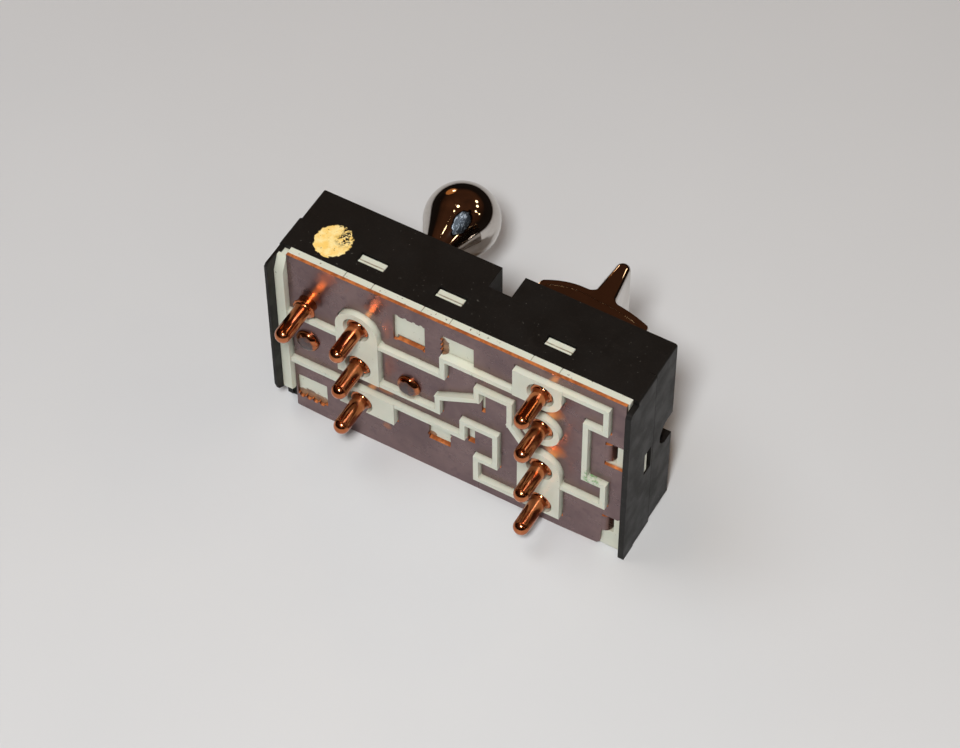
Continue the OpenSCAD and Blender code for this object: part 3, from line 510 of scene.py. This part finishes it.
# bullet terminals: headed shank, crimped flange with a lug, ring, bullet
for i, node in enumerate(TERMINALS):
    lo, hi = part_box(node)
    c = (lo + hi) / 2
    r = 1.95
    tip = (W0 - lo.y) / MM
    head = (hi.y - W0) / MM
    up = tip - 11.2
    prof = [(0, -head), (2.1, -head), (2.2, -head + 0.05), (2.56, -head + 0.48), (2.56, -head + 0.55), (1.75, -head + 0.56), (1.75, 0.0)]
    if up > 0.5:
        prof += [(2.36, 0.0), (2.34, 0.25), (2.30, 0.50), (2.30, up + 0.50)]
    else:
        prof += [(2.6, 0.0), (2.6, 0.42)]
    prof += [(2.70, up + 0.62), (2.93, up + 0.66), (2.98, up + 0.74), (2.98, up + 0.88), (2.90, up + 0.98), (2.66, up + 1.04)]
    prof += [(2.40, up + 1.08), (2.22, up + 1.15), (2.11, up + 1.28), (2.05, up + 1.46), (2.00, up + 1.68), (1.96, up + 1.92)]
    prof += [(r - 0.01, up + 2.2), (r, up + 3.4), (r, up + 6.0), (r - 0.01, up + 8.0), (r - 0.02, up + 9.1)]
    for k in range(1, 19):
        t = math.pi / 2 * k / 18
        prof.append(((r - 0.02) * math.cos(t) if k < 18 else 0.0, tip - 1.93 + 1.93 * math.sin(t)))

    def crimp(a, rr, h, seed=i * 7.3, up=up):
        if h < up + 0.60 or h > up + 1.12:
            return 1.0
        d = noise.noise(Vector((math.cos(a) * 2.2 + seed, math.sin(a) * 2.2, h * 0.8)))
        lug = math.exp(-((a - 5.9) ** 2) / 0.05)
        return min(1.0, 0.925 - 0.07 * d + 0.085 * lug - 0.03 * abs(math.sin(a * 5 + seed)))

    bm = bmesh.new()
    lathe(bm, prof, c.x, c.z, W0, -1, 96, crimp)
    new_object("bullet_%d" % (i + 1), bm, M["terminal"], "case", [node])

# rivets with flattened, uneven heads
for node in ("left_plate_rivet", "centre_plate_rivet"):
    lo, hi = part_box(node)
    c = (lo + hi) / 2
    top, head = (W0 - lo.y) / MM, (hi.y - W0) / MM
    prof = [(0, -head), (2.0, -head), (2.35, -head + 0.45), (2.35, -head + 0.5), (1.4, -head + 0.5), (1.4, 0.0), (2.93, 0.0), (2.98, 0.12)]
    prof += [(2.94, 0.42), (2.80, 0.74), (2.56, 1.02), (2.22, 1.25), (1.80, 1.41), (1.30, 1.51), (0.70, 1.55), (0.0, top)]

    def hammered(a, rr, h, seed=c.x * 900):
        if h < 0.05:
            return 1.0
        d = noise.noise(Vector((math.cos(a) * 1.9 + seed, math.sin(a) * 1.9, h * 1.4)))
        return 1.0 - 0.13 * max(0.0, d + 0.3) * min(1.0, h)

    bm = bmesh.new()
    lathe(bm, prof, c.x, c.z, W0, -1, 64, hammered)
    new_object(node + "_head", bm, M["rivet"], "case", [node])

# ball with its cone and neck, bored for the stem
bm = bmesh.new()
R = BALL_R / MM
top = (knob_hi.y - knob_lo.y) / MM
mid = top - R
cone = 29.0
ca, sa = math.cos(math.radians(cone)), math.sin(math.radians(cone))
neck = R * ca - (mid - R * sa) * sa / ca
prof = [(0.0, 9.0), (2.02, 9.0), (2.02, 0.12), (2.14, 0.0), (neck - 0.22, 0.0)]
prof += [(neck - 0.06, 0.06), (neck, 0.22), (neck + 0.09, 0.40)]
for k in range(1, 14):
    t = k / 14
    h = 0.40 + (mid - R * sa - 0.40) * t
    # the cone swells a little into the ball
    prof.append((neck + (R * ca - neck) * h / (mid - R * sa) - 0.16 * math.sin(math.pi * t), h))
prof += [(R * math.cos(math.radians(a)), mid + R * math.sin(math.radians(a))) for a in range(-29, 90, 3)]
prof += [(0.0, top)]
lathe(bm, prof, knob_c.x, knob_c.z, knob_lo.y, 1, 128)
new_object("ball_and_cone", bm, M["ball"], "ball_lever", ["ball_knob"], sharp=60)


def prism(bm, pts, z0, z1):
    """Prism of an (x, y) outline in metres, between two heights."""
    a = [bm.verts.new((x, y, z0)) for x, y in pts]
    b = [bm.verts.new((x, y, z1)) for x, y in pts]
    bm.faces.new(a)
    bm.faces.new(list(reversed(b)))
    for k in range(len(pts)):
        j = (k + 1) % len(pts)
        bm.faces.new((a[k], b[k], b[j], a[j]))


# blade lever: crowned hollow cap and tapered blade in one profile, recessed
# cheeks, then hub, web and drive arm
bx = P(64.9, 0, 0).x
PIVOT = 14.0
blade_lo, blade_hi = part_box("blade_lever")
BLADE_TOP = (blade_hi.y - W0) / MM - 0.02
CAP, CROWN_R, CAP_TOP = (blade_hi.x - blade_lo.x) / MM / 2 - 0.02, 36.8, DEPTH + 5.0
za, zb = blade_lo.z + 0.01 * MM, blade_hi.z - 0.01 * MM


def crown(x):
    side = 0.85 * math.sin(-math.pi * x / 14.5) if x < 0 else 0.0
    return CAP_TOP - CROWN_R + math.sqrt(CROWN_R**2 - x * x) + side - 0.01


def at(pts):
    return [(bx + x * MM, W0 + w * MM) for x, w in pts]


def ease(a, b, n, lift):
    """Points from a to b on a hollow curve, for the fillets at the root."""
    out = []
    for i in range(n + 1):
        t = i / n
        x, w = a[0] + (b[0] - a[0]) * t, a[1] + (b[1] - a[1]) * t
        out.append((x, w - lift * math.sin(math.pi * t)))
    return out


base_w = DEPTH + 0.57
tip_r = 1.78
tip_c = (0.45, BLADE_TOP - tip_r)
left, right = 0.75 - 2.68, 0.75 + 2.68
outline = [(CAP, base_w), (CAP, crown(CAP) - 0.62), (CAP - 0.12, crown(CAP) - 0.25), (CAP - 0.42, crown(CAP - 0.4) - 0.03)]
outline += [(x, crown(x)) for x in [CAP - 0.9 - 0.75 * i for i in range(11)]]
outline += ease((right + 1.15, crown(4.6) + 0.03), (right + 0.02, CAP_TOP + 1.35), 7, 0.32)
outline += arc(tip_c[0], tip_c[1], tip_r, -4, 186, 22)
outline += ease((left - 0.02, CAP_TOP + 1.45), (left - 1.5, crown(-3.4) + 0.03), 7, 0.30)
outline += [(x, crown(x)) for x in [-4.0 - 0.75 * i for i in range(12)]]
outline += [(-CAP + 0.42, crown(-CAP + 0.4) - 0.03), (-CAP + 0.12, crown(-CAP) - 0.25), (-CAP, crown(-CAP) - 0.62), (-CAP, base_w), (-CAP + 1.5, base_w)]
outer = len(outline) - 1
outline += [(x, crown(x) - 1.75) for x in [-CAP + 2.0 + (2 * CAP - 3.7) * i / 24 for i in range(24)]]
outline += [(CAP - 1.6, base_w)]
# how strongly each outline point draws in at the two ends: full on the blade,
# less on the crown, almost none underneath
draw = []
for k, (x, w) in enumerate(outline):
    up = min(1.0, max(0.0, (w - crown(max(-CAP, min(CAP, x)))) / 1.6))
    draw.append(0.05 if k >= outer or w < base_w + 0.01 else 0.22 + 0.78 * up)


def lofted(bm, pts, z0, z1, rim, steps, pull):
    """Prism whose two end edges are rounded by shrinking the outline."""
    pts = [Vector(p) for p in pts]
    n = len(pts)
    area = sum(pts[i].x * pts[(i + 1) % n].y - pts[(i + 1) % n].x * pts[i].y for i in range(n))
    sign = 1 if area > 0 else -1
    norms = []
    for i in range(n):
        d0 = (pts[i] - pts[i - 1]).normalized()
        d1 = (pts[(i + 1) % n] - pts[i]).normalized()
        d = (d0 + d1).normalized() if (d0 + d1).length > 1e-4 else d0
        norms.append(Vector((-d.y, d.x)) * sign)
    rows = [(z0 + rim * (1 - math.cos(math.pi / 2 * k / steps)), rim * (1 - math.sin(math.pi / 2 * k / steps))) for k in range(steps + 1)]
    rows += [(z1 - (z - z0), inset) for z, inset in reversed(rows)]
    rings = [[bm.verts.new(((p + q * inset * f).x, (p + q * inset * f).y, z)) for p, q, f in zip(pts, norms, pull)] for z, inset in rows]
    for a, b in zip(rings, rings[1:]):
        for k in range(n):
            j = (k + 1) % n
            bm.faces.new((a[k], a[j], b[j], b[k]))
    for ring in (rings[0], rings[-1]):
        edges = [bm.edges.get((ring[k], ring[(k + 1) % n])) for k in range(n)]
        bmesh.ops.triangle_fill(bm, use_beauty=True, use_dissolve=False, edges=edges)


bm = bmesh.new()
lofted(bm, at(outline), za, zb, 1.25 * MM, 11, draw)
n = 28
for z0, z1 in ((za + 0.10 * MM, za + 1.5 * MM), (zb - 1.5 * MM, zb - 0.10 * MM)):
    cheek = [(CAP - 0.3, base_w + 0.04)] + [(x, crown(x) - 0.62) for x in [CAP - 0.6 - (2 * CAP - 1.2) * i / n for i in range(n + 1)]]
    lofted(bm, at(cheek + [(-CAP + 0.3, base_w + 0.04)]), z0, z1, 0.42 * MM, 5, [1.0] + [0.02] * (n + 1) + [1.0])
new_object("blade_lever_cap", bm, M["chrome"], "blade", ["blade_lever"], sharp=35)

z_hub0, z_hub1 = P(0, 49.7, 0).z, P(0, 4.9, 0).z
bm = bmesh.new()
seg = 48
ring_at = lambda rad, z: [bm.verts.new((bx + rad * MM * math.cos(2 * math.pi * k / seg), W0 + (PIVOT + rad * math.sin(2 * math.pi * k / seg)) * MM, z)) for k in range(seg)]
tube = [ring_at(2.9, z_hub0), ring_at(2.9, z_hub1), ring_at(1.58, z_hub1), ring_at(1.58, z_hub0)]
for a, b in zip(tube, tube[1:] + tube[:1]):
    for k in range(seg):
        j = (k + 1) % seg
        bm.faces.new((a[k], a[j], b[j], b[k]))
prism(bm, at([(-1.2, PIVOT + 2.1), (1.2, PIVOT + 2.1), (1.2, crown(1) - 1.3), (-1.2, crown(1) - 1.3)]), z_hub0 + 0.2 * MM, z_hub1 - 0.2 * MM)
zm = P(0, 27.3, 0).z
arm = [(1.1, PIVOT - 2.1), (-1.1, PIVOT - 2.1), (-1.15, 7.6)] + arc(0, 7.3, 1.28, 180, 360, 10) + [(1.15, 7.6)]
prism(bm, at(arm), zm - 4 * MM, zm + 4 * MM)
new_object("blade_lever_hub", bm, M["chrome"], "blade", (), "chrome", sharp=35)

# the remaining CAD nodes keep their shape
for node in NODES:
    o = NODES[node]
    if o.hide_render or any(m.name == "weld" for m in o.modifiers):
        continue
    refine(node, 0.0 if "spring" in node else 0.08, [M[SLOT[node]] if SLOT[node] in M else M["steel"]])

# ------------------------------------------------------------------ stage

floor_m = Mat("pale_floor")
soft = floor_m.noise(9, 3, 0.5)
# pale near the object and darker further out, so far reflections fall off
fx, fy, fz = floor_m.xyz()
out = floor_m.math("SQRT", floor_m.math("ADD", floor_m.math("MULTIPLY", fx, fx), floor_m.math("MULTIPLY", fy, fy)))
pale = floor_m.mix(soft, (0.64, 0.665, 0.69), (0.70, 0.72, 0.74))
pale = floor_m.mix(floor_m.step(out, 0.26, 0.75), pale, (0.10, 0.085, 0.075))
floor_m.set(Base_Color=pale, Roughness=0.62, Specular_IOR_Level=0.25)
floor_m.bump((floor_m.noise(700, 2, 0.5), 0.04, 0.0001))
bm = bmesh.new()
bmesh.ops.create_grid(bm, x_segments=8, y_segments=8, size=3.0)
me = bpy.data.meshes.new("floor")
bm.to_mesh(me)
bm.free()
floor = bpy.data.objects.new("floor", me)
floor.location.z = cad_lo.z - 0.00002
me.materials.append(floor_m.m)
bpy.context.scene.collection.objects.link(floor)


def soft_light(name, where, size, power, colour, target=(0, -0.01, 0), glossy=True):
    d = bpy.data.lights.new(name, "AREA")
    d.shape, d.size, d.energy, d.color = "DISK", size, power, colour
    o = bpy.data.objects.new(name, d)
    o.location = where
    o.visible_glossy = glossy
    o.rotation_euler = (Vector(target) - Vector(where)).to_track_quat("-Z", "Y").to_euler()
    bpy.context.scene.collection.objects.link(o)


# one soft lamp beside the camera, two weak fills, and small warm room lamps
soft_light("key", (0.19, -0.47, 0.73), 0.14, 6.4, (1.0, 0.99, 0.97))
soft_light("over", (-0.45, -0.10, 0.95), 0.55, 2.2, (0.92, 0.96, 1.0), glossy=False)
soft_light("fill", (0.90, -0.75, 0.30), 0.70, 1.3, (0.93, 0.97, 1.0), glossy=False)
for k, (where, size, power, colour) in enumerate(
    (
        ((-0.19, -0.08, 1.09), 0.150, 0.34, (1.0, 0.74, 0.42)),
        ((0.54, 0.53, 0.81), 0.130, 0.24, (1.0, 0.76, 0.46)),
        ((0.353, 0.709, 0.796), 0.140, 0.26, (1.0, 0.72, 0.42)),
        ((0.67, 0.24, 0.84), 0.100, 0.14, (1.0, 0.74, 0.44)),
        ((0.82, 0.28, 0.67), 0.070, 0.08, (1.0, 0.70, 0.40)),
        ((-0.71, 0.66, 0.55), 0.110, 0.19, (1.0, 0.70, 0.42)),
        ((-0.81, 0.61, 0.52), 0.420, 0.22, (1.0, 0.34, 0.08)),
        ((-0.26, -0.39, 1.00), 0.060, 0.075, (1.0, 0.70, 0.40)),
        ((0.73, -0.42, 0.68), 0.070, 0.09, (1.0, 0.68, 0.38)),
        ((0.95, -0.30, 0.42), 0.060, 0.06, (1.0, 0.62, 0.34)),
    )
):
    soft_light("lamp_%d" % k, where, size, power, colour)

# a dim room, dark at the floor's level and warm overhead
world = bpy.data.worlds.new("room")
world.use_nodes = True
nt = world.node_tree
tc = nt.nodes.new("ShaderNodeTexCoord")
sep = nt.nodes.new("ShaderNodeSeparateXYZ")
ramp = nt.nodes.new("ShaderNodeValToRGB")
patches = nt.nodes.new("ShaderNodeTexNoise")
patches.inputs["Scale"].default_value = 1.7
tint = nt.nodes.new("ShaderNodeMix")
tint.data_type = "RGBA"
nt.links.new(tc.outputs["Generated"], sep.inputs[0])
nt.links.new(tc.outputs["Generated"], patches.inputs["Vector"])
nt.links.new(sep.outputs[2], ramp.inputs[0])
ramp.color_ramp.elements[0].position, ramp.color_ramp.elements[0].color = 0.0, (0.016, 0.012, 0.010, 1)
ramp.color_ramp.elements[1].position, ramp.color_ramp.elements[1].color = 0.42, (0.012, 0.007, 0.005, 1)
e = ramp.color_ramp.elements.new(0.58)
e.color = (0.084, 0.029, 0.012, 1)
e = ramp.color_ramp.elements.new(1.0)
e.color = (0.128, 0.045, 0.019, 1)
nt.links.new(patches.outputs["Fac"], tint.inputs[0])
tint.inputs[6].default_value = (0.006, 0.004, 0.003, 1)
nt.links.new(ramp.outputs[0], tint.inputs[7])
nt.links.new(tint.outputs[2], nt.nodes["Background"].inputs[0])
bpy.context.scene.world = world
bpy.context.scene.view_settings.view_transform = "Standard"

cam = bpy.data.cameras.new("camera")
cam.sensor_width, cam.lens = 36.0, 114.93
cam.clip_start, cam.clip_end = 0.01, 20.0
camera = bpy.data.objects.new("camera", cam)
right_v, up_v, fwd = Vector((0.86731, 0.49776, -0.00340)), Vector((-0.39151, 0.68636, 0.61288)), Vector((-0.30740, 0.53023, -0.79017))
rot = Matrix((right_v, up_v, -fwd)).transposed()
camera.matrix_world = Matrix.Translation((0.21202, -0.37346, 0.54188)) @ rot.to_4x4()
bpy.context.scene.collection.objects.link(camera)
bpy.context.scene.camera = camera

bpy.context.view_layer.update()
